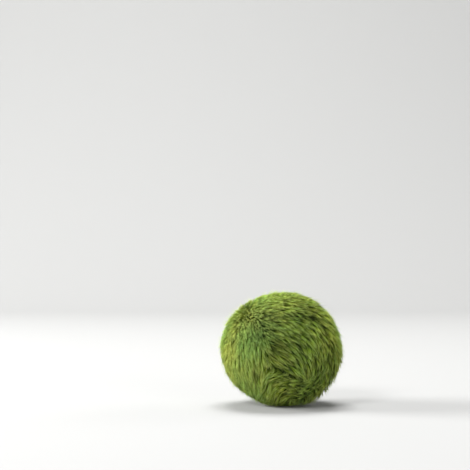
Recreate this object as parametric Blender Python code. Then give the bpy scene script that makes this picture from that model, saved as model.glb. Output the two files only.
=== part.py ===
"""A moss ball for a water tank: a long green pile over a round, hollow plastic cage.

Three pieces make it up. The cover is a ball of pile, and its outside is the reach of the fibre tips.
Inside it lies a cage with triangular windows, moulded in two halves that meet level with the ball's middle.
The ball rests on a small flat spot at the origin, with +Z up and its front facing -Y. Units are metres.
"""

import math

import bmesh
import bpy
from mathutils import Vector

# The ball over its fibre tips, before it is flattened where it rests
BALL_WIDTH = 0.0444
BALL_DEPTH = 0.0424
BALL_HEIGHT = 0.0408
FOOT_DEPTH = 0.0006  # how far the weight presses the pile flat

# Swellings and hollows of the pile, as the ball is seen from the front.
# Each has its angle, anticlockwise from the right-hand side, its lean towards the front, its height and half-width.
LUMPS = (
    ("full lower right", -54, 0.15, 0.0013, 20),
    ("flat lower left", -127, 0.10, -0.0006, 17),
    ("flat left", -165, 0.00, -0.0004, 13),
    ("full upper left", 147, 0.10, 0.0004, 12),
    ("flat crown", 107, 0.10, -0.0004, 18),
    ("full crown", 68, 0.00, 0.0003, 14),
    ("flat upper right", 17, 0.10, -0.0006, 15),
    ("full back", 60, -1.60, 0.0007, 30),
    ("hollow low back", -140, -1.20, -0.0005, 24),
)

# The cage and the room that the cover leaves for it
CAGE_RADIUS = 0.0176
RIB_WIDTH = 0.0009
RIB_DEPTH = 0.0020
SEAM_GAP = 0.0003  # between the two halves of the cage
COVER_GAP = 0.0004  # between the cage's hubs and the inside of the cover

# The mouth at the back, where the cover is drawn shut over the cage
MOUTH_RADIUS = 0.0015

# How finely the round shapes are faceted
COVER_SEGMENTS = 56
COVER_RINGS = 28
CAVITY_SUBDIVISIONS = 4
MOUTH_SEGMENTS = 16

MOSS_GREEN = (0.125, 0.200, 0.045, 1.0)
CAGE_GREY = (0.055, 0.055, 0.060, 1.0)

BALL_CENTRE = Vector((0.0, 0.0, BALL_HEIGHT / 2 - FOOT_DEPTH))


def clear_scene():
    for obj in list(bpy.data.objects):
        bpy.data.objects.remove(obj, do_unlink=True)


def make_material(name, colour, roughness):
    material = bpy.data.materials.new(name)
    material.use_nodes = True
    shader = material.node_tree.nodes["Principled BSDF"]
    shader.inputs["Base Color"].default_value = colour
    shader.inputs["Roughness"].default_value = roughness
    shader.inputs["Metallic"].default_value = 0.0
    return material


def object_from(mesh_builder, name, parent, material=None):
    """Turns a finished bmesh into a named object that hangs from the given parent."""
    mesh = bpy.data.meshes.new(name)
    mesh_builder.to_mesh(mesh)
    mesh_builder.free()
    obj = bpy.data.objects.new(name, mesh)
    if material:
        mesh.materials.append(material)
    bpy.context.scene.collection.objects.link(obj)
    obj.parent = parent
    return obj


def lump_direction(clock_deg, lean):
    """The way from the ball's middle to a lump. A positive lean brings it towards the front, which faces -Y."""
    clock = math.radians(clock_deg)
    return Vector((math.cos(clock), -lean, math.sin(clock))).normalized()


def tip_reach(direction):
    """How far the fibre tips reach from the ball's middle in this direction."""
    half = Vector((BALL_WIDTH / 2, BALL_DEPTH / 2, BALL_HEIGHT / 2))
    reach = 1.0 / math.sqrt(sum((d / h) ** 2 for d, h in zip(direction, half)))
    for _, clock_deg, lean, height, half_width_deg in LUMPS:
        away = direction.angle(lump_direction(clock_deg, lean))
        reach += height * math.exp(-((away / math.radians(half_width_deg)) ** 2))
    return reach


def make_cavity_cutter(parent):
    """The room for the cage: a ball a little larger than the cage's hubs."""
    shape = bmesh.new()
    bmesh.ops.create_icosphere(shape, subdivisions=CAVITY_SUBDIVISIONS, radius=CAGE_RADIUS + COVER_GAP)
    cutter = object_from(shape, "cavity_cutter", parent)
    cutter.location = BALL_CENTRE
    return cutter


def make_mouth_cutter(parent):
    """A straight neck from the room for the cage out through the back of the cover."""
    length = BALL_DEPTH
    shape = bmesh.new()
    bmesh.ops.create_cone(
        shape,
        cap_ends=True,
        segments=MOUTH_SEGMENTS,
        radius1=MOUTH_RADIUS,
        radius2=MOUTH_RADIUS,
        depth=length,
    )
    cutter = object_from(shape, "mouth_cutter", parent)
    cutter.rotation_euler = (math.radians(90), 0.0, 0.0)
    cutter.location = BALL_CENTRE + Vector((0.0, length / 2, 0.0))
    return cutter


def cut(obj, cutter):
    cutter.hide_render = True
    cutter.display_type = "WIRE"
    modifier = obj.modifiers.new(cutter.name, "BOOLEAN")
    modifier.operation = "DIFFERENCE"
    modifier.solver = "EXACT"
    modifier.object = cutter


def make_moss_cover(parent, material):
    """The pile as one closed body, out to the fibre tips, hollow for the cage and flat where it rests."""
    shape = bmesh.new()
    bmesh.ops.create_uvsphere(shape, u_segments=COVER_SEGMENTS, v_segments=COVER_RINGS, radius=1.0)
    for vertex in shape.verts:
        direction = vertex.co.normalized()
        vertex.co = BALL_CENTRE + direction * tip_reach(direction)
        vertex.co.z = max(vertex.co.z, 0.0)
    cover = object_from(shape, "moss_cover", parent, material)
    cut(cover, make_cavity_cutter(parent))
    cut(cover, make_mouth_cutter(parent))
    cover.data.shade_smooth()
    return cover


def put_on_cage(vertices):
    for vertex in vertices:
        vertex.co = vertex.co.normalized() * CAGE_RADIUS


def make_cage_surface():
    """The cage's outside as triangles. Eight ribs meet at most hubs, and four at the small ones between them."""
    shape = bmesh.new()
    bmesh.ops.create_cube(shape, size=1.0)
    bmesh.ops.subdivide_edges(shape, edges=shape.edges[:], cuts=1, use_grid_fill=True)
    put_on_cage(shape.verts)
    bmesh.ops.bisect_edges(shape, edges=shape.edges[:], cuts=1)
    bmesh.ops.poke(shape, faces=shape.faces[:])
    put_on_cage(shape.verts)
    return shape


def make_cage_half(name, side, parent, material):
    """Half of the cage, above the middle for side 1 and below it for side -1: ribs as deep radial fins."""
    shape = make_cage_surface()
    other_half = [face for face in shape.faces if face.calc_center_median().z * side < 0]
    bmesh.ops.delete(shape, geom=other_half, context="FACES")
    bmesh.ops.inset_individual(shape, faces=shape.faces[:], thickness=RIB_WIDTH / 2, use_even_offset=True)
    windows = [face for face in shape.faces if len(face.verts) == 3]
    bmesh.ops.delete(shape, geom=windows, context="FACES_ONLY")
    fins = bmesh.ops.extrude_face_region(shape, geom=shape.faces[:], use_keep_orig=True)
    for piece in fins["geom"]:
        if isinstance(piece, bmesh.types.BMVert):
            piece.co *= 1.0 - RIB_DEPTH / CAGE_RADIUS
    bmesh.ops.recalc_face_normals(shape, faces=shape.faces)
    half = object_from(shape, name, parent, material)
    half.location = BALL_CENTRE + Vector((0.0, 0.0, side * SEAM_GAP / 2))
    return half


def centre_over_origin(holder, cover):
    """Moves everything sideways so that the cover's outline is centred on the origin."""
    corners = [vertex.co for vertex in cover.data.vertices]
    for axis in (0, 1):
        low = min(corner[axis] for corner in corners)
        high = max(corner[axis] for corner in corners)
        holder.location[axis] = -(low + high) / 2


def main():
    clear_scene()
    holder = bpy.data.objects.new("moss_ball", None)
    bpy.context.scene.collection.objects.link(holder)
    moss = make_material("moss_pile", MOSS_GREEN, 0.9)
    plastic = make_material("cage_plastic", CAGE_GREY, 0.5)
    cover = make_moss_cover(holder, moss)
    make_cage_half("cage_upper_half", 1, holder, plastic)
    make_cage_half("cage_lower_half", -1, holder, plastic)
    centre_over_origin(holder, cover)


main()
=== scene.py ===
# %% [markdown]
# # A moss ball, fibre by fibre
#
# The real thing is a ball of long green pile drawn over a hollow plastic cage. Nearly all of its look comes from
# the pile: thousands of fibres that cling together in small locks, and locks that lie over each other like
# shingles, combed round the ball. A smooth ball with a fur picture on it would lose the soft edge and the dark
# gaps, so this lesson grows every fibre as a thin mesh tube.
#
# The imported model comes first. It fixes where everything is, in metres, with +Z up and the front towards -Y.

# %% Load the frame
import math

import bpy
import numpy as np
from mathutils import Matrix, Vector, noise
from mathutils.bvhtree import BVHTree


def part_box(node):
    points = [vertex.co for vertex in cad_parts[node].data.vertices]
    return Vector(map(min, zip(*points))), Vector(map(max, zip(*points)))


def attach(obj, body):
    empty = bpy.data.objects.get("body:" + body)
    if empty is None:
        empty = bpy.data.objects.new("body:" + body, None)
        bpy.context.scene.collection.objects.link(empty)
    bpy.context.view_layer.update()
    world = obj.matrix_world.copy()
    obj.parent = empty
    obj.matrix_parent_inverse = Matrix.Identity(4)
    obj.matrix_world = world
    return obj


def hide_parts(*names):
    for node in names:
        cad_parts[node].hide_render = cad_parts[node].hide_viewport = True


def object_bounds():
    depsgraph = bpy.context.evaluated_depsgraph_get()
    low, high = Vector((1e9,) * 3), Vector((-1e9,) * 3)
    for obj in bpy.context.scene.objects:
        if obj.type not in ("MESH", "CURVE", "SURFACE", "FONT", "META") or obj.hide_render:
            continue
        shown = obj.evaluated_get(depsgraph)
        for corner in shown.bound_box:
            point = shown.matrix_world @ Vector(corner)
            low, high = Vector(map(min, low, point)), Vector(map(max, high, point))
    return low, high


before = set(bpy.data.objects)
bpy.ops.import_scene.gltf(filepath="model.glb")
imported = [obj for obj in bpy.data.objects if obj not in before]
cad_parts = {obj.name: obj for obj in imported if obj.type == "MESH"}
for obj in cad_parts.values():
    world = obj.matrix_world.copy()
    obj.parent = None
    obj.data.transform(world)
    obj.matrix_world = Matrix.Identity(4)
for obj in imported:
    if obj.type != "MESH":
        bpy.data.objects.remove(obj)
cad_box = [list(corner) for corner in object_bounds()]
low, high = (Vector(corner) for corner in cad_box)
ball_size = high - low
print("ball, mm:", [round(side * 1000, 1) for side in ball_size])

# %% [markdown]
# ## Camera
#
# The photograph looks at the ball face on, from some way off, and has it small in the lower right of the frame.
# A long lens from half a metre gives the same flat outline. The ball's place in the frame is given in pixels, and
# one pixel is a known length at the ball, so two lines of arithmetic place the camera. No lens shift is needed.

# %% Place the camera
FRAME_PX = 470
BALL_WIDTH_PX = 124
BALL_CENTRE_PX = (281.6, 348.3)
LENS_MM = 100
SENSOR_MM = 36

pixel = ball_size.x / BALL_WIDTH_PX
frame_width = FRAME_PX * pixel
distance = frame_width * LENS_MM / SENSOR_MM
middle = (low + high) / 2
aim = Vector((
    middle.x - (BALL_CENTRE_PX[0] - FRAME_PX / 2) * pixel,
    middle.y,
    middle.z + (BALL_CENTRE_PX[1] - FRAME_PX / 2) * pixel,
))

camera_data = bpy.data.cameras.new("camera")
camera_data.lens = LENS_MM
camera_data.sensor_width = SENSOR_MM
camera = bpy.data.objects.new("camera", camera_data)
camera.location = aim - Vector((0, distance, 0))
camera.rotation_euler = (math.radians(90), 0, 0)
bpy.context.scene.collection.objects.link(camera)
bpy.context.scene.camera = camera
print("one pixel is", round(pixel * 1000, 3), "mm, camera at", [round(c, 3) for c in camera.location])

# %% [markdown]
# ## Floor and light
#
# A small product is shot on a sheet of pale paper that runs on up behind it, so there is no horizon line. The
# floor here is such a sweep: flat under the ball, then a quarter circle, then upright.
#
# In the photograph the left rim and the top are light and the lower right is deep green. Pile shows light in its
# own way: light along the way it lies slides over it, and light across it fills every gap with shadow. So the key
# light stands on the left, a little behind the ball, and skims over the rim. One light in front on the left and one
# overhead carry it round. Two weak ones, behind and low in front on the right, keep that side from going black.

# %% Helpers for meshes and materials
def link(obj):
    bpy.context.scene.collection.objects.link(obj)
    return obj


def mesh_object(name, points, faces, smooth=True):
    """Makes a mesh object from rows of points and rows of corner numbers, all triangles or all quads."""
    points = np.asarray(points, dtype=np.float32)
    faces = np.asarray(faces, dtype=np.int32)
    mesh = bpy.data.meshes.new(name)
    mesh.vertices.add(len(points))
    mesh.vertices.foreach_set("co", points.ravel())
    mesh.loops.add(faces.size)
    mesh.loops.foreach_set("vertex_index", faces.ravel())
    mesh.polygons.add(len(faces))
    mesh.polygons.foreach_set("loop_start", np.arange(0, faces.size, faces.shape[1], dtype=np.int32))
    mesh.update(calc_edges=True)
    mesh.polygons.foreach_set("use_smooth", np.full(len(faces), smooth))
    mesh.validate()
    return link(bpy.data.objects.new(name, mesh))


def new_material(name, roughness, specular):
    """A material with a Principled shader, and a short way to add a node to it and to join two sockets."""
    material = bpy.data.materials.new(name)
    material.use_nodes = True
    tree = material.node_tree
    shader = tree.nodes["Principled BSDF"]
    shader.inputs["Roughness"].default_value = roughness
    shader.inputs["Specular IOR Level"].default_value = specular

    def add(kind, **settings):
        node = tree.nodes.new(kind)
        for key, value in settings.items():
            setattr(node, key, value)
        return node

    return material, shader, add, tree.links.new


# %% Paper sweep
SWEEP_WIDTH = 3.0
SWEEP_FRONT = -1.2
SWEEP_BACK = 0.55
SWEEP_RADIUS = 0.35
SWEEP_HEIGHT = 1.6
SWEEP_STEPS = 24

profile = [(SWEEP_FRONT, 0.0)]
for step in range(SWEEP_STEPS + 1):
    turn = math.radians(90) * step / SWEEP_STEPS
    profile.append((SWEEP_BACK + SWEEP_RADIUS * math.sin(turn), SWEEP_RADIUS * (1 - math.cos(turn))))
profile.append((SWEEP_BACK + SWEEP_RADIUS, SWEEP_HEIGHT))
sweep_points = [(side * SWEEP_WIDTH / 2, y, z) for y, z in profile for side in (-1, 1)]
sweep_faces = [(2 * i, 2 * i + 1, 2 * i + 3, 2 * i + 2) for i in range(len(profile) - 1)]
sweep = mesh_object("paper_sweep", sweep_points, sweep_faces)
paper, paper_shader, _, _ = new_material("pale_paper", roughness=0.95, specular=0.1)
paper_shader.inputs["Base Color"].default_value = (0.38, 0.38, 0.375, 1)
sweep.data.materials.append(paper)
print("sweep of", len(sweep_faces), "faces")

# %% Soft lights
def area_light(name, place, size, power, colour=(1, 1, 1)):
    """A square soft light, turned to face the ball. Place is measured from the ball's middle."""
    data = bpy.data.lights.new(name, "AREA")
    data.shape = "SQUARE"
    data.size = size
    data.energy = power
    data.color = colour
    light = link(bpy.data.objects.new(name, data))
    light.location = middle + Vector(place)
    light.rotation_euler = (-Vector(place)).to_track_quat("-Z", "Y").to_euler()
    return light


area_light("key_light", (-0.92, 0.10, 0.30), size=0.45, power=19.0)
area_light("front_light", (-0.45, -0.65, 0.60), size=0.30, power=6.0)
area_light("top_light", (0.0, 0.25, 0.92), size=0.50, power=13.0)
area_light("back_light", (0.85, 0.45, 0.35), size=0.50, power=3.5)
area_light("fill_light", (0.55, -0.75, 0.15), size=0.40, power=3.6)

world = bpy.data.worlds.new("soft_room")
world.use_nodes = True
world.node_tree.nodes["Background"].inputs["Color"].default_value = (1.0, 1.0, 1.0, 1)
world.node_tree.nodes["Background"].inputs["Strength"].default_value = 0.08
bpy.context.scene.world = world
bpy.context.scene.view_settings.view_transform = "Standard"

# %% [markdown]
# ## How far the fibres reach
#
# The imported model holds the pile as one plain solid, and its outside is the reach of the fibre tips. The pile has
# to fill that solid and no more. A ray sent from outside towards the middle finds the surface in any direction, so
# one function answers how long a fibre may be there. At the back the cover has a small mouth, where a ray would
# run on inside, so directions near it borrow the ball's depth.

# %% Measure the reach
cover_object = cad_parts["moss_cover"]
cover_mesh = cover_object.data
cover_tree = BVHTree.FromPolygons(
    [vertex.co[:] for vertex in cover_mesh.vertices],
    [polygon.vertices[:] for polygon in cover_mesh.polygons],
)
cage_low, cage_high = (Vector(corner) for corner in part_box("cage_lower_half"))
cage_radius = (cage_high.x - cage_low.x) / 2
ball_centre = Vector(((cage_low.x + cage_high.x) / 2, (cage_low.y + cage_high.y) / 2, cage_low.z + cage_radius))
MOUTH_GUARD = math.cos(math.radians(6))


def reach(direction):
    """How far the cover's outside is from the ball's middle in this direction."""
    direction = Vector(direction)
    if direction.y > MOUTH_GUARD:
        return high.y - ball_centre.y
    start = ball_centre + direction * ball_size.length
    hit = cover_tree.ray_cast(start, -direction)[0]
    return (hit - ball_centre).length


print("reach, mm, right, up, front:", [round(reach(d) * 1000, 2) for d in ((1, 0, 0), (0, 0, 1), (0, -1, 0))])

# %% [markdown]
# ## The comb
#
# On the real ball the fibres don't stand out evenly. They have been stroked: over the top they run to the right,
# down the right side they turn downwards, low on the right they curl back up to the left and over an arch, and on
# the left they hang. Nothing gives the ball more of its own character, so the comb is given as a few long
# strokes, each a line of places on the front that the comb is drawn along from first to last. A place is so many
# millimetres to the right of the ball's middle and so many up.
#
# The back isn't seen in the photograph. There the pile falls from a crown to the foot, as hair does, and turns a
# little as it falls. The crown lies out of sight, behind the upper left.

# %% Comb strokes on the front
OVER_AND_DOWN = (
    ((-9, 17), (0, 18.5), (8, 16), (14, 11), (17.5, 5), (18.6, -2), (17.6, -8), (14.5, -12.5)),
    ((-12, 14.5), (-8, 14.8), (-1, 14.6), (6, 12.6), (11.3, 9), (14, 4), (15, -2), (14.6, -6.5), (12.5, -9.6)),
    ((-10, 13), (-7, 11.8), (-2, 10.8), (4, 8.8), (8.6, 5.6), (11, 1), (11.9, -4), (11.2, -7.4), (9.2, -9.4)),
    ((-8.4, 10), (-6, 8.2), (-2, 6.6), (3, 4.4), (6.6, 1), (8.6, -3.4), (9, -8)),
    ((-7.8, 7), (-5, 4.4), (-1, 2.4), (3.2, -0.2), (6, -3.8), (7.4, -8)),
    ((-7, 3.4), (-4.6, 0.6), (-1, -0.8), (3, -3), (6, -7)),
    ((-6.2, -0.6), (-4, -3.2), (-1, -4.4), (2.6, -6), (5.4, -9)),
    ((17.5, -11), (13.5, -14.5), (9.5, -18)),
)
OVER_THE_ARCH = (
    ((12.5, -9.6), (9.5, -11.4), (5.5, -11), (3, -9.6), (0.5, -8.2), (-2.5, -7.2), (-5.5, -8.5), (-7, -12), (-8, -17)),
    ((14.5, -12.5), (9.5, -14), (5.5, -13.6), (2.5, -12.2), (0, -11.5), (-2, -12.5), (-3.5, -15), (-4, -18)),
    ((10, -16.5), (6.5, -16), (3, -15.5), (0.5, -17), (0, -19)),
)
DOWN_THE_LEFT = (
    ((-12.6, 13.4), (-9.8, 10.4), (-8, 7), (-6.9, 3.4), (-6.6, 0)),
    ((-11.6, 9.6), (-9.8, 5), (-8.6, 0), (-8, -4), (-8, -8)),
    ((-13, 12), (-12, 7), (-11, 1), (-10.5, -5), (-9.8, -11), (-9, -16)),
    ((-16.5, 10.5), (-15.5, 5), (-14.8, 0), (-14, -6), (-12, -12)),
    ((-19.5, 6), (-19, 0), (-18, -6), (-15, -12)),
)
FRONT_STROKES = OVER_AND_DOWN + OVER_THE_ARCH + DOWN_THE_LEFT
print(len(FRONT_STROKES), "strokes on the front")

# %% Turn the strokes into directions on the ball
BACK_RINGS = ((0, 1), (20, 8), (40, 14), (60, 20), (80, 26))
CROWN = np.array((-0.62, 0.40, 0.68))
FOOT = np.array((0.0, 0.1, -1.0))
FALL_TWIST = math.radians(15)
COMB_REACH = math.radians(5)
STROKE_STEP_MM = 2.0
TIP_CLIMB = 0.40
RIM_CLIMB = 0.45
STEEPEST = 0.25
half_sides = np.array(ball_size) / 2


def on_front(right_mm, up_mm):
    """The outward direction of a place on the front, given in millimetres as it is seen from there."""
    across = np.array((right_mm, up_mm)) / 1000 / half_sides[[0, 2]]
    towards = math.sqrt(max(1 - across @ across, 0.01))
    place = np.array((across[0] * half_sides[0], -towards * half_sides[1], across[1] * half_sides[2]))
    return unit(place)


def unit(ways):
    """Each way at length one."""
    return ways / np.maximum(np.linalg.norm(ways, axis=-1, keepdims=True), 1e-12)


def along_surface(normals, ways):
    """Each way with its part along the normal taken out, at length one."""
    return unit(ways - normals * np.sum(normals * ways, axis=-1, keepdims=True))


def lying(place, lie_deg):
    """The way to comb at this place on the front so that the pile looks from there as if it lies at this angle.

    Fibres climb outwards by TIP_CLIMB for each step along the surface, and that pushes their picture towards the
    rim. The comb leans back by as much. Close to the rim that would comb them straight at the eye, so it leans less.
    """
    right, up = math.cos(math.radians(lie_deg)), math.sin(math.radians(lie_deg))
    facing = max(-place[1], STEEPEST)
    lean = min(TIP_CLIMB, RIM_CLIMB * facing / math.sqrt(1.001 - facing ** 2))
    outward = right * place[0] + up * place[2]
    slope = facing ** 2 + outward ** 2
    room = (lean * outward) ** 2 - slope * (lean ** 2 * (1 - facing ** 2) - facing ** 2)
    step = (lean * outward + math.sqrt(room)) / slope
    across = step * right - lean * place[0]
    upward = step * up - lean * place[2]
    return np.array((across, (across * place[0] + upward * place[2]) / facing, upward))


stroke_places = []
stroke_ways = []
for stroke in FRONT_STROKES:
    turns = np.gradient(np.array(stroke, dtype=float), axis=0)
    for start, end, turn_in, turn_out in zip(stroke[:-1], stroke[1:], turns[:-1], turns[1:]):
        steps = max(1, round(math.dist(start, end) / STROKE_STEP_MM))
        for step in range(steps):
            share = (step + 0.5) / steps
            right_mm, up_mm = np.array(start) * (1 - share) + np.array(end) * share
            run = turn_in * (1 - share) + turn_out * share
            stroke_places.append(on_front(right_mm, up_mm))
            stroke_ways.append(lying(stroke_places[-1], math.degrees(math.atan2(run[1], run[0]))))
for lean_deg, count in BACK_RINGS:
    lean = math.radians(lean_deg)
    for step in range(count):
        turn = math.tau * (step + 0.5) / count
        side = math.sin(lean)
        place = np.array((side * math.cos(turn), math.cos(lean), side * math.sin(turn)))
        from_crown = place - CROWN
        to_foot = FOOT - place
        fall = along_surface(place, from_crown / (from_crown @ from_crown) + to_foot / (to_foot @ to_foot))
        stroke_places.append(place)
        stroke_ways.append(fall * math.cos(FALL_TWIST) + np.cross(place, fall) * math.sin(FALL_TWIST))
stroke_places = np.array(stroke_places)
stroke_ways = along_surface(stroke_places, np.array(stroke_ways))


def comb(normals):
    """Which way the pile lies at each of these outward directions: the mean of the nearby strokes."""
    apart = np.arccos(np.clip(normals @ stroke_places.T, -1, 1))
    weight = np.exp(-((apart / COMB_REACH) ** 2)) + 1e-6 / (apart + 0.05) ** 2
    return along_surface(normals, weight @ stroke_ways)


print("comb at the front's middle:", comb(np.array([[0.0, -1.0, 0.0]]))[0].round(2))

# %% [markdown]
# ## Locks
#
# Fibres cling to their neighbours, so the eye sees locks, not single fibres. Their roots are spread evenly with a
# golden spiral that is shaken a little, since pure chance would leave bald spots. Locks gather in turn: every third
# one is a leader, and those nearest to it make up its bunch. Much that is drawn by lot below is drawn for a whole
# bunch, because pile varies bunch by bunch.

# %% Spread the roots
LOCKS = 12600
SEED = 7
ROOT_SHAKE = 0.013
MOUTH_CLEAR = math.cos(math.radians(4.5))

rng = np.random.default_rng(SEED)
number = np.arange(LOCKS) + 0.5
height = 1 - 2 * number / LOCKS
turn = number * math.pi * (3 - math.sqrt(5))
ring = np.sqrt(1 - height ** 2)
roots = np.stack((ring * np.cos(turn), ring * np.sin(turn), height), axis=1)
roots = unit(roots + rng.normal(0, ROOT_SHAKE, roots.shape))
roots = roots[roots[:, 1] < MOUTH_CLEAR]
LOCKS = len(roots)
print(LOCKS, "locks")

# %% Choose the leaders
LEADER_EVERY = 3

leaders = rng.permutation(LOCKS)[: LOCKS // LEADER_EVERY]
nearest = np.empty(LOCKS, dtype=int)
for start in range(0, LOCKS, 2000):
    some = slice(start, start + 2000)
    nearest[some] = np.argmax(roots[some] @ roots[leaders].T, axis=1)
leader = leaders[nearest]


def for_bunches(values):
    """Gives every lock its leader's value, so that a bunch shares one."""
    return values[leader]


print(len(leaders), "bunches of about", LEADER_EVERY, "locks")

# %% [markdown]
# ## Where the pile stands up
#
# At the crown of a head the hair runs apart in all directions. If pile lay flat at such a place it would leave the
# ground bare, so it stands up there instead. To find these places, the comb is asked for its way a little to each
# side of every root. The faster the answers run apart, the more the lock stands.

# %% Measure how the comb fans out
LOOK_ASIDE = math.radians(2.5)
STANDS_FROM = 1.5
STANDS_FULLY = 5.5

fanning = np.zeros(LOCKS)
one_side = along_surface(roots, np.roll(roots, 1, axis=1))
for aside in (one_side, np.cross(roots, one_side)):
    change = comb(unit(roots + aside * LOOK_ASIDE)) - comb(unit(roots - aside * LOOK_ASIDE))
    fanning += np.sum(change * aside, axis=1) / (2 * LOOK_ASIDE)
standing = np.clip((fanning - STANDS_FROM) / (STANDS_FULLY - STANDS_FROM), 0, 1)
print(int((standing > 0.5).sum()), "locks stand up")

# %% [markdown]
# ## The path of each lock
#
# A lock starts at the backing cloth, leans the way of the comb, and climbs as it goes. Its path is walked in a few
# steps, and the comb is asked again at every step, so locks bend with the swirl.
#
# Two fifths of the locks are undercoat. They stay low and loose and close the ground, and their colour is darkened
# with painted shade, for the shade that falls under the wisps. The rest are wisps that are drawn towards their
# leader's path on their way out, which opens the narrow dark gaps that give combed pile its depth. They are drawn
# tight on the right. On the upper left the ball is fluffed up: the pile there is loose and even, with hardly a gap.

# %% Walk the paths
LOCK_LENGTH = 0.0052
PATH_POINTS = 5
BUNCH_VEER = math.radians(10)
LOCK_VEER = math.radians(6)
STANDING_STRIDE = 0.45
UNDER_SHARE = 0.40
UNDER_GATHER = 0.15
TIGHT_GATHER = 0.88
LOOSE_GATHER = 0.20

FLUFFED = np.array((-0.82, -0.48, 0.31))
FLUFF_REACH = math.radians(56)
EVENER = 0.8
STRAIGHTER = 0.6

under = rng.random(LOCKS) < UNDER_SHARE * (1 - standing)
fluff = np.exp(-((np.arccos(np.clip(roots @ FLUFFED, -1, 1)) / FLUFF_REACH) ** 2))
rightness = for_bunches(roots[:, 0])
gather = LOOSE_GATHER + (TIGHT_GATHER - LOOSE_GATHER) * np.clip(0.6 + 0.8 * rightness, 0, 1)
gather = np.where(under, UNDER_GATHER, gather * (1 - EVENER * fluff))
lock_length = LOCK_LENGTH * for_bunches(rng.uniform(0.75, 1.15, LOCKS)) * rng.uniform(0.85, 1.1, LOCKS)
veer = for_bunches(rng.normal(0, BUNCH_VEER, LOCKS)) + rng.normal(0, LOCK_VEER, LOCKS)
veer *= 1 - STRAIGHTER * fluff

spots = [roots]
ways = []
for step in range(PATH_POINTS):
    here = spots[-1]
    way = comb(here)
    side = np.cross(here, way)
    way = along_surface(here, way * np.cos(veer)[:, None] + side * np.sin(veer)[:, None])
    ways.append(way)
    stride = lock_length / (PATH_POINTS - 1) / (ball_size.x / 2) * (1 - (1 - STANDING_STRIDE) * standing)
    spots.append(unit(here + way * stride[:, None]))
spots = np.stack(spots[:PATH_POINTS], axis=1)
ways = np.stack(ways, axis=1)
pull = (gather[:, None] * np.linspace(0, 1, PATH_POINTS) ** 0.7)[..., None]
spots = unit(spots * (1 - pull) + for_bunches(spots) * pull)
print("locks walked over", PATH_POINTS, "points and gathered")

# %% [markdown]
# ## Partings
#
# Here and there the pile has been pushed aside, and a dark line is left. The longest runs down the right side, and
# one is the slit between the two flows that pass each other low in the middle. Each parting is a line of places on
# the front, right and up in millimetres. Locks that end on it stop short, and their colour is darkened: painted
# shade, for the shadow that falls in the gap.

# %% Set the partings
PARTINGS = (
    ((8.5, 12.0), (11.5, 10.6), (13.7, 9.4), (15.5, 6.5), (16.2, 3.3), (17.1, 1.3), (17.4, -4.9), (16.8, -9.5),
     (15.3, -11.6)),
    ((14.6, -12.6), (12.4, -14.8), (9.7, -16.6)),
    ((-2.6, 1.4), (-1.4, 0.4)),
    ((6.4, 1.2), (7.8, 0.6), (9.2, -0.6)),
    ((-9.6, -8.4), (-8.9, -9.8), (-8.4, -11.4)),
    ((-2.5, -5.3), (-0.6, -5.9), (1.6, -6.8), (3.4, -8.0), (5.1, -10.3)),
    ((0.0, -15.2), (1.4, -17.4)),
    ((6.0, -15.4), (7.5, -17.0)),
)
PARTING_STEP_MM = 0.5
PARTING_REACH = math.radians(1.9)

parting_places = []
for line in PARTINGS:
    for (right_a, up_a), (right_b, up_b) in zip(line[:-1], line[1:]):
        steps = max(1, round(math.hypot(right_b - right_a, up_b - up_a) / PARTING_STEP_MM))
        for part in range(steps + 1):
            share = part / steps
            parting_places.append(on_front(right_a + (right_b - right_a) * share, up_a + (up_b - up_a) * share))
parting_places = np.array(parting_places)


def parted(normals):
    """One on a parting, falling to nothing away from it."""
    apart = np.arccos(np.clip((normals @ parting_places.T).max(axis=1), -1, 1))
    return np.exp(-((apart / PARTING_REACH) ** 2))


in_parting = parted(spots[:, -1])
print(len(parting_places), "places along the partings,", int((in_parting > 0.5).sum()), "locks in them")

# %% [markdown]
# ## How high each lock ends
#
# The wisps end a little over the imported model's surface and the undercoat well below it. A bunch has a depth of its
# own, drawn so that most are high and a few are low, and the fluffed part of the ball is evener than the rest.

# %% Measure the ends
BACKING_RADIUS = cage_radius + 0.0010
TIP_OVER = 0.00035
BUNCH_DEPTH = 0.0005
LOCK_DEPTH = 0.0003
UNDER_DEPTH = 0.0008
PARTING_DEPTH = 0.0018
LEVELLER = 0.85

tip_depth = BUNCH_DEPTH * for_bunches(rng.beta(0.8, 1.4, LOCKS)) + np.where(under, UNDER_DEPTH, 0)
tip_depth = tip_depth * (1 - LEVELLER * fluff) + LOCK_DEPTH * rng.random(LOCKS) + PARTING_DEPTH * in_parting - TIP_OVER
reaches = np.array([[reach(spot) for spot in path] for path in spots])
print("reach from", round(reaches.min() * 1000, 1), "to", round(reaches.max() * 1000, 1), "mm")

# %% [markdown]
# ## Fibres
#
# Every lock holds five fibres. They start spread out over a small patch of backing and draw together towards the
# lock's tip, each with a little wave of its own. About one in seven is a stray that rises out of its lock, and the
# strays make the soft fringe round the outline. A fibre is a three-sided tube that thins to a point: with smooth
# shading it passes for round, and it costs only a few triangles, so there can be over sixty thousand of them.

# %% Grow fibres along the locks
FIBRES_PER_LOCK = 5
FIBRE_RADIUS = 0.000050
STRAY_RADIUS = 0.000038
ROOT_SPREAD = 0.00030
TIP_SPREAD = 0.00007
WAVE = 0.00007
SOFTER = 0.9
STRAY_SHARE = 0.15
STRAY_RISE = 0.0018
FIBRE_POINTS = 4
FLOOR_CLEAR = 0.00009

fibre_lock = np.repeat(np.arange(LOCKS), FIBRES_PER_LOCK)
FIBRES = len(fibre_lock)
share = np.linspace(0, 1, FIBRE_POINTS)
fibre_end = rng.uniform(0.72, 1.0, FIBRES)
stray = rng.random(FIBRES) < STRAY_SHARE


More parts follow.
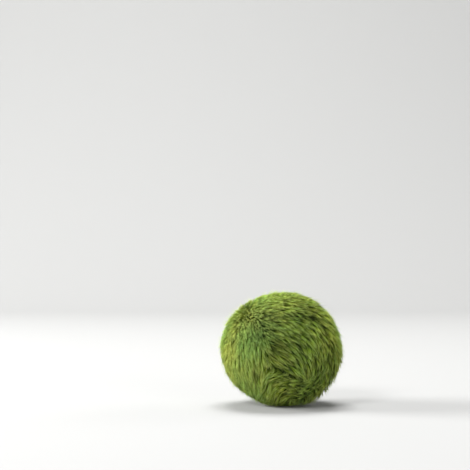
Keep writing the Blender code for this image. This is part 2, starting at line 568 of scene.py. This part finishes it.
def sample_path(values, at):
    """Reads rows of values along each fibre's lock, at places from 0 at the root to 1 at the tip."""
    spot = at * (PATH_POINTS - 1)
    before = np.clip(spot.astype(int), 0, PATH_POINTS - 2)
    part = spot - before
    if values.ndim == 3:
        part = part[..., None]
    rows = fibre_lock[:, None]
    return values[rows, before] * (1 - part) + values[rows, before + 1] * part


at = share[None, :] * fibre_end[:, None]
normals = unit(sample_path(spots, at))
forward = along_surface(normals, sample_path(ways, at))
sides = np.cross(normals, forward)
tip_radius = sample_path(reaches, at) - tip_depth[fibre_lock][:, None]

spin = rng.uniform(0, math.tau, FIBRES)
out = np.sqrt(rng.random(FIBRES))
crisp = 1 - SOFTER * fluff
draw_in = (ROOT_SPREAD - TIP_SPREAD) * crisp[fibre_lock]
spread = ROOT_SPREAD - draw_in[:, None] * np.minimum(at * 1.25, 1) ** 0.8
spread = spread * np.where(stray, 1.8, 1.0)[:, None]
wave_phase = rng.uniform(0, math.tau, FIBRES)
wave_turns = rng.uniform(0.5, 1.6, FIBRES)
wave = WAVE * np.sin(wave_phase[:, None] + at * math.tau * wave_turns[:, None]) * at
wave = wave * np.where(stray, 3.0, 1.0)[:, None]
aside = (out * np.cos(spin))[:, None] * spread + wave
lift = (out * np.sin(spin))[:, None] * spread * 0.5
lift += np.where(stray, rng.uniform(0.0, STRAY_RISE, FIBRES), 0.0)[:, None] * at ** 2

climb = at ** 0.5
from_centre = BACKING_RADIUS + (tip_radius - BACKING_RADIUS) * climb + lift
fibre_points = np.array(ball_centre) + normals * from_centre[..., None] + sides * aside[..., None]
fibre_points[..., 2] = np.maximum(fibre_points[..., 2], FLOOR_CLEAR)
print(FIBRES, "fibres,", int(stray.sum()), "of them strays")

# %% [markdown]
# ## Colour for each fibre
#
# Three numbers colour the pile. One runs along the fibre from the dark root to the pale tip, and the dark root is
# painted shade. One is the fibre's lightness: partly its own, drawn by lot and mostly shared within a lock, because
# fibres that cling together look alike, and partly painted light and shade. One lock in ten is paler, a painted
# highlight streak. The last number is the hue, which drifts slowly over the ball from fresh green to olive. A few
# broad patches, each a place on the front with a reach, make the pile paler or darker and fresher or more olive.
# The material reads the numbers as attributes of the mesh, which keeps the mesh and the colours apart: either can
# be changed alone.
#
# A game engine can't read such attributes, so a texture has to take their place one day. For that the mesh carries a
# second map, OFBake, which files each fibre by its colour: lightness across, hue in bands, and root to tip within a
# band. Fibres that share a place there also share a colour, so one small picture serves them all.

# %% Give each fibre its numbers
HUE_BANDS = 8
DRIFT_SCALE = 95.0
HIGHLIGHT_STREAK_SHARE = 0.10
HIGHLIGHT_STREAK_PALER = 0.38
STRAY_GLOW = 0.32
PATCHES = (
    # right_mm, up_mm, reach_mm, paler, fresher
    (-7.0, 5.0, 5.5, -0.22, 0.06),
    (0.0, 1.5, 5.0, -0.16, 0.00),
    (16.0, 4.0, 6.0, 0.12, -0.35),
    (2.0, 17.0, 5.0, 0.06, -0.25),
    (-2.5, 11.5, 5.0, -0.24, -0.10),
    (10.5, 10.5, 5.5, -0.18, -0.05),
    (14.0, -9.0, 5.0, -0.10, 0.00),
    (-2.0, -17.0, 5.0, 0.22, 0.00),
    (8.0, 5.0, 5.0, 0.00, -0.25),
    (8.0, -15.0, 6.0, 0.14, 0.22),
    (-8.0, -16.0, 5.0, 0.14, -0.10),
    (-18.0, -2.0, 7.0, 0.10, -0.30),
    (-13.0, 11.0, 6.0, 0.00, -0.25),
)

lock_places = np.array(ball_centre) + roots * reaches[:, :1]
drift = np.array([noise.noise(Vector(place) * DRIFT_SCALE) for place in lock_places])
# Locks further left are made a little paler: painted light, for the key light that stands on the left.
painted_left_light = -lock_places[:, 0] / half_sides[0]
lock_tone = 0.54 + crisp * for_bunches(rng.normal(0, 0.13, LOCKS)) + crisp * rng.normal(0, 0.14, LOCKS)
# Locks on a parting are darkened: painted shade, for the shadow in the gap.
# Undercoat locks are darkened, less where the pile is fluffed: painted shade, for the shade under the wisps.
lock_tone += 0.03 * painted_left_light - 0.50 * in_parting - np.where(under, 0.42 * crisp, 0.0)
# One lock in ten is made paler: painted highlight streaks, as on fibres that catch the light.
lock_tone += np.where(rng.random(LOCKS) < HIGHLIGHT_STREAK_SHARE, HIGHLIGHT_STREAK_PALER * crisp, 0.0)
lock_hue = 0.5 + 0.45 * drift + for_bunches(rng.normal(0, 0.12, LOCKS))
for right_mm, up_mm, reach_mm, paler, fresher in PATCHES:
    apart = np.arccos(np.clip(spots[:, -1] @ on_front(right_mm, up_mm), -1, 1)) * ball_size.x * 500
    inside = np.exp(-((apart / reach_mm) ** 2))
    lock_tone += paler * inside
    lock_hue += fresher * inside
# Strays are made paler: painted light, for the glow of thin fringe fibres lit from behind.
tone = lock_tone[fibre_lock] + rng.normal(0, 0.12, FIBRES) * crisp[fibre_lock] + np.where(stray, STRAY_GLOW, 0.0)
tone = np.clip(tone, 0.01, 0.99)
fibre_hue = lock_hue[fibre_lock] + rng.normal(0, 0.10, FIBRES)
hue_band = np.clip((fibre_hue * HUE_BANDS).astype(int), 0, HUE_BANDS - 1)
print("tone", tone.mean().round(2), "hue bands used", np.unique(hue_band).tolist())

# %% Build the pile as joined tubes
SIDES = 3
PIECES = 5
MAP_PIXELS = 1024
TAPER = (1.0, 0.95, 0.72)
ROOT_SHADE_LIFT = 0.65
thickness = np.where(stray, STRAY_RADIUS, FIBRE_RADIUS)


def build_pile(name, chosen):
    """Makes one mesh of the chosen fibres: rings of three points, and one point at the tip."""
    line = fibre_points[chosen]
    count = len(line)
    run = unit(np.gradient(line, axis=1))
    side = unit(np.cross(normals[chosen], run))
    up = np.cross(run, side)
    rings = []
    for k in range(FIBRE_POINTS - 1):
        for corner in range(SIDES):
            angle = math.tau * corner / SIDES + spin[chosen]
            round_it = side[:, k] * np.cos(angle)[:, None] + up[:, k] * np.sin(angle)[:, None]
            rings.append(line[:, k] + round_it * thickness[chosen][:, None] * TAPER[k])
    rings.append(line[:, -1])
    points = np.stack(rings, axis=1)
    points[..., 2] = np.maximum(points[..., 2], 0.0)
    per_fibre = points.shape[1]
    tip = per_fibre - 1
    faces = []
    for k in range(FIBRE_POINTS - 2):
        for corner in range(SIDES):
            a, b = k * SIDES + corner, k * SIDES + (corner + 1) % SIDES
            faces.append((a, b, b + SIDES))
            faces.append((a, b + SIDES, a + SIDES))
    last = (FIBRE_POINTS - 2) * SIDES
    for corner in range(SIDES):
        faces.append((last + corner, last + (corner + 1) % SIDES, tip))
    faces = np.array(faces)
    all_faces = (np.arange(count)[:, None, None] * per_fibre + faces[None]).reshape(-1, 3)
    pile = mesh_object(name, points.reshape(-1, 3), all_faces)

    ring_share = np.append(np.repeat(share[:-1], SIDES), share[-1])
    # Where the pile is fluffed or stands, the painted root shade starts partway along, so those roots are less dark.
    root_shade_lift = np.repeat(ROOT_SHADE_LIFT * np.maximum(fluff, standing)[fibre_lock[chosen]], per_fibre)
    along = root_shade_lift + (1 - root_shade_lift) * np.tile(ring_share, count)
    for label, values in (
        ("along", along),
        ("tone", np.repeat(tone[chosen], per_fibre)),
        ("hue", np.repeat((hue_band[chosen] + 0.5) / HUE_BANDS, per_fibre)),
    ):
        layer = pile.data.attributes.new(label, "FLOAT", "POINT")
        layer.data.foreach_set("value", values.astype(np.float32))

    nudge = np.append(np.tile(np.arange(SIDES) - 1.0, FIBRE_POINTS - 1), 0.0) * 1.5 / MAP_PIXELS
    across = np.repeat(tone[chosen], per_fibre) * 0.98 + 0.01 + np.tile(nudge, count)
    upward = (np.repeat(hue_band[chosen], per_fibre) + 0.03 + 0.94 * along) / HUE_BANDS
    map_layer = pile.data.uv_layers.new(name="OFBake")
    corners = all_faces.ravel()
    places = np.stack((across[corners], upward[corners]), axis=1).astype(np.float32)
    map_layer.data.foreach_set("uv", places.ravel())
    return pile


piles = []
for part in range(PIECES):
    piles.append(build_pile(f"pile_{part + 1}", np.arange(part, FIBRES, PIECES)))
    print(piles[-1].name, len(piles[-1].data.polygons), "triangles")

# %% [markdown]
# ## Fibre material
#
# Dyed fibre is dull, with a faint sheen where light skims along it. The root is nearly black-green, because little
# light gets down there, and the tip is a dusty yellow-green. A colour ramp reads the along attribute, and two
# mixes read tone and hue. Sheen and roughness are the same all over, so they are set on the shader itself.

# %% Make the fibre material
ROOT_GREEN = (0.010, 0.018, 0.002, 1)
MIDDLE_GREEN = (0.152, 0.224, 0.022, 1)
TIP_GREEN = (0.335, 0.422, 0.122, 1)
OLIVE_SHIFT = (1.18, 0.98, 0.80, 1)
FRESH_SHIFT = (0.80, 1.02, 0.95, 1)

fibre, fibre_shader, add, join = new_material("dyed_fibre_and_painted_light", roughness=0.70, specular=0.06)
along_node = add("ShaderNodeAttribute", attribute_name="along")
tone_node = add("ShaderNodeAttribute", attribute_name="tone")
hue_node = add("ShaderNodeAttribute", attribute_name="hue")
ramp = add("ShaderNodeValToRGB")
ramp.color_ramp.elements[0].color = ROOT_GREEN
ramp.color_ramp.elements[1].color = TIP_GREEN
middle_stop = ramp.color_ramp.elements.new(0.5)
middle_stop.color = MIDDLE_GREEN
join(along_node.outputs["Fac"], ramp.inputs["Fac"])

lightness = add("ShaderNodeMapRange")
lightness.inputs["To Min"].default_value = 0.15
lightness.inputs["To Max"].default_value = 2.00
join(tone_node.outputs["Fac"], lightness.inputs["Value"])
lit = add("ShaderNodeMix", data_type="RGBA", blend_type="MULTIPLY")
lit.inputs["Factor"].default_value = 1.0
join(ramp.outputs["Color"], lit.inputs["A"])
join(lightness.outputs["Result"], lit.inputs["B"])

shift = add("ShaderNodeMix", data_type="RGBA")
shift.inputs["A"].default_value = OLIVE_SHIFT
shift.inputs["B"].default_value = FRESH_SHIFT
join(hue_node.outputs["Fac"], shift.inputs["Factor"])
shifted = add("ShaderNodeMix", data_type="RGBA", blend_type="MULTIPLY")
shifted.inputs["Factor"].default_value = 1.0
join(lit.outputs["Result"], shifted.inputs["A"])
join(shift.outputs["Result"], shifted.inputs["B"])
join(shifted.outputs["Result"], fibre_shader.inputs["Base Color"])
fibre_shader.inputs["Sheen Weight"].default_value = 0.12
fibre_shader.inputs["Sheen Tint"].default_value = (0.80, 0.90, 0.45, 1)
fibre_shader.inputs["Sheen Roughness"].default_value = 0.4
for pile in piles:
    pile.data.materials.append(fibre)
print("fibre material on", len(piles), "pieces")

# %% [markdown]
# ## Backing cloth
#
# The fibres grow from a knitted cloth that wraps the cage. It only shows as darkness between locks, and round the
# mouth at the back, but without it the cage would show through. It is a ball with a real thickness and a round hole.

# %% Make the backing
BACKING_THICKNESS = 0.0005
MOUTH_RADIUS = 0.0015
BACKING_RINGS = 48
BACKING_TURNS = 80

mouth_lean = math.asin(MOUTH_RADIUS / BACKING_RADIUS)
backing_points = []
for row in range(BACKING_RINGS + 1):
    lean = mouth_lean + (math.pi - mouth_lean) * row / BACKING_RINGS
    for column in range(BACKING_TURNS):
        turn = math.tau * column / BACKING_TURNS
        pull = 0.0001 * math.cos(turn * 16) * math.exp(-lean * 5)
        radius = BACKING_RADIUS + pull
        backing_points.append((
            ball_centre.x + radius * math.sin(lean) * math.cos(turn),
            ball_centre.y + radius * math.cos(lean),
            ball_centre.z + radius * math.sin(lean) * math.sin(turn),
        ))
backing_faces = []
for row in range(BACKING_RINGS):
    for column in range(BACKING_TURNS):
        a = row * BACKING_TURNS + column
        b = row * BACKING_TURNS + (column + 1) % BACKING_TURNS
        backing_faces.append((a, b, b + BACKING_TURNS, a + BACKING_TURNS))
backing = mesh_object("backing_cloth", backing_points, backing_faces)
thicken = backing.modifiers.new("thickness", "SOLIDIFY")
thicken.thickness = BACKING_THICKNESS
thicken.offset = -1
print("backing of", len(backing_faces), "faces")

# %% Make the backing's material
cloth, cloth_shader, add, join = new_material("knitted_backing", roughness=0.9, specular=0.15)
place = add("ShaderNodeTexCoord")
weave = add("ShaderNodeTexNoise")
weave.inputs["Scale"].default_value = 1400.0
weave.inputs["Detail"].default_value = 3.0
join(place.outputs["Object"], weave.inputs["Vector"])
cloth_ramp = add("ShaderNodeValToRGB")
cloth_ramp.color_ramp.elements[0].color = (0.008, 0.016, 0.003, 1)
cloth_ramp.color_ramp.elements[1].color = (0.030, 0.052, 0.010, 1)
join(weave.outputs["Fac"], cloth_ramp.inputs["Fac"])
join(cloth_ramp.outputs["Color"], cloth_shader.inputs["Base Color"])
backing.data.materials.append(cloth)

# %% [markdown]
# ## The cage
#
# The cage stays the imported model's own: two moulded halves with triangular windows. It is dark grey plastic with
# the faint mottle of a moulded surface. Only its material is made here.

# %% Give the cage its plastic
plastic, plastic_shader, add, join = new_material("moulded_plastic", roughness=0.45, specular=0.45)
place = add("ShaderNodeTexCoord")
mottle = add("ShaderNodeTexNoise")
mottle.inputs["Scale"].default_value = 700.0
join(place.outputs["Object"], mottle.inputs["Vector"])
plastic_ramp = add("ShaderNodeValToRGB")
plastic_ramp.color_ramp.elements[0].color = (0.040, 0.040, 0.044, 1)
plastic_ramp.color_ramp.elements[1].color = (0.066, 0.066, 0.070, 1)
join(mottle.outputs["Fac"], plastic_ramp.inputs["Fac"])
join(plastic_ramp.outputs["Color"], plastic_shader.inputs["Base Color"])
for node in ("cage_upper_half", "cage_lower_half"):
    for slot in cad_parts[node].material_slots:
        slot.material = plastic

# %% Attach the pieces to the root body and hide the imported cover
for piece in [*piles, backing]:
    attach(piece, "root")
    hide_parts("moss_cover")
